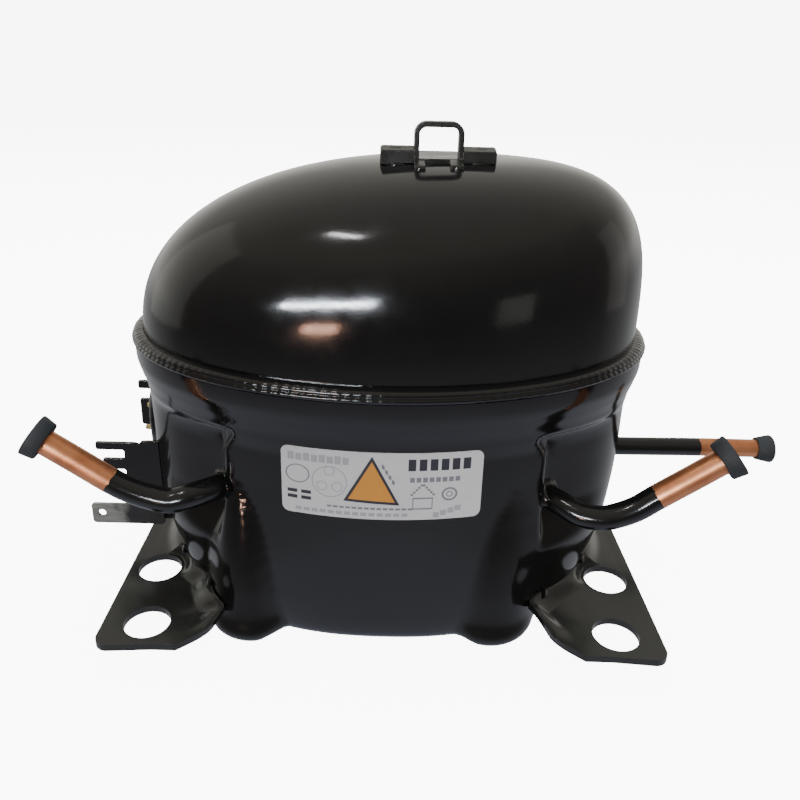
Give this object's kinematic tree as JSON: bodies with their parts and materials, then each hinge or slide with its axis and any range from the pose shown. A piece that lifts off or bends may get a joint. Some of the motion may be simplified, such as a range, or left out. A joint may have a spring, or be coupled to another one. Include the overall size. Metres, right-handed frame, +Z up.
{
  "type": "hermetic reciprocating compressor",
  "caption": "Sealed oval steel compressor shell with a domed top, punched feet, stub tubes and a spring-hung motor and piston pump inside.",
  "frame": {"origin": "centre of the flat underside of the lower shell, on the surface it stands on", "axes": "+Z up through the crankshaft, +X along the long side of the shell towards the tube that leaves the right end, -Y towards the label"},
  "size_m": [0.3007, 0.1652, 0.1893],
  "materials": {
    "black_paint": "gloss black paint",
    "copper": "drawn copper",
    "winding": "enamelled copper wire",
    "rubber": "matte",
    "label": "printed film",
    "zinc_steel": "dull zinc",
    "steel": "machined",
    "brass": "bright",
    "cast_iron": "machined casting",
    "aluminium": "die cast",
    "plastic": "moulded",
    "gasket": "pressed fibre"
  },
  "bodies": {
    "shell": {"lower_shell": "black_paint", "upper_shell": "black_paint", "shell_weld_bead": "black_paint", "left_foot": "black_paint", "right_foot": "black_paint", "top_bracket": "black_paint", "suction_tube": "copper", "process_tube": "copper", "discharge_tube": "copper", "data_label": "label", "terminal_header": "steel", "terminal_pin_1": "brass", "terminal_pin_2": "brass", "terminal_pin_3": "brass", "terminal_bracket": "black_paint", "ground_tab": "zinc_steel", "lead_connector": "plastic", "spring_pin_1": "plastic", "spring_pin_2": "plastic", "spring_pin_3": "plastic", "spring_pin_4": "plastic", "suspension_spring_1": "steel", "suspension_spring_2": "steel", "suspension_spring_3": "steel", "suspension_spring_4": "steel", "internal_discharge_tube": "copper"},
    "pump_unit": {"cylinder_block": "cast_iron", "stator_core": "steel", "lower_winding": "winding", "upper_winding": "winding", "stator_bolt_1": "steel", "stator_bolt_2": "steel", "stator_bolt_3": "steel", "stator_bolt_4": "steel", "valve_plate": "steel", "head_gasket": "gasket", "cylinder_head": "aluminium", "head_bolt_1": "steel", "head_bolt_2": "steel", "head_bolt_3": "steel", "head_bolt_4": "steel", "reed_retainer": "steel", "suction_muffler": "plastic", "discharge_muffler": "steel"},
    "crank": {"crankshaft": "steel", "counterweight": "steel", "rotor": "aluminium", "oil_pickup": "steel"},
    "slide_block": {"slide_block": "cast_iron"},
    "bore_plug": {"oil_bore_plug": "brass"},
    "piston": {"piston": "steel", "yoke_tube": "steel"},
    "suction_reed": {"suction_reed": "steel"},
    "discharge_reed": {"discharge_reed": "steel"},
    "suction_cap": {"suction_tube_cap": "rubber"},
    "process_cap": {"process_tube_cap": "rubber"},
    "discharge_cap": {"discharge_tube_cap": "rubber"}
  },
  "joints": [
    {"name": "suspension", "type": "slide", "parent": "shell", "child": "pump_unit", "axis": [0, 0, 1], "range_m": [-0.0015, 0.0015], "stiffness_N_per_m": 60000, "springref_m": 0.00075, "deforming": ["suspension_spring_1", "suspension_spring_2", "suspension_spring_3", "suspension_spring_4", "internal_discharge_tube"]},
    {"name": "crank_spin", "type": "hinge", "parent": "pump_unit", "child": "crank", "pos_m": [0, 0, 0.06], "axis": [0, 0, 1], "continuous": true},
    {"name": "slide_block_turn", "type": "hinge", "parent": "crank", "child": "slide_block", "pos_m": [-0.009, 0, 0.114], "axis": [0, 0, 1], "continuous": true},
    {"name": "bore_plug_turn", "type": "hinge", "parent": "crank", "child": "bore_plug", "pos_m": [-0.0045, 0, 0.0363], "axis": [0, 0, 1], "continuous": true},
    {"name": "piston_stroke", "type": "hinge", "parent": "bore_plug", "child": "piston", "pos_m": [-0.009, 0, 0.114], "axis": [0, 0, 1], "continuous": true},
    {"name": "suction_reed_lift", "type": "hinge", "parent": "pump_unit", "child": "suction_reed", "pos_m": [-0.0555, 0, 0.1225], "axis": [0, -1, 0], "range_deg": [0, 3.4], "stiffness_Nm_per_rad": 0.002, "springref_deg": -2.86},
    {"name": "discharge_reed_lift", "type": "hinge", "parent": "pump_unit", "child": "discharge_reed", "pos_m": [-0.0591, 0.007, 0.1294], "axis": [0, 1, 0], "range_deg": [0, 5], "stiffness_Nm_per_rad": 0.002, "springref_deg": -2.86},
    {"name": "suction_cap_pull", "type": "slide", "parent": "shell", "child": "suction_cap", "axis": [-0.8255, 0, 0.5644], "range_m": [0, 0.02]},
    {"name": "process_cap_pull", "type": "slide", "parent": "shell", "child": "process_cap", "axis": [0.8062, 0, 0.5917], "range_m": [0, 0.02]},
    {"name": "discharge_cap_pull", "type": "slide", "parent": "shell", "child": "discharge_cap", "axis": [1, 0, 0], "range_m": [0, 0.02]}
  ],
  "couplings": [
    {"joint": "slide_block_turn", "follows": "crank_spin", "ratio": -1},
    {"joint": "bore_plug_turn", "follows": "crank_spin", "ratio": -2},
    {"joint": "piston_stroke", "follows": "crank_spin", "ratio": 1}
  ]
}
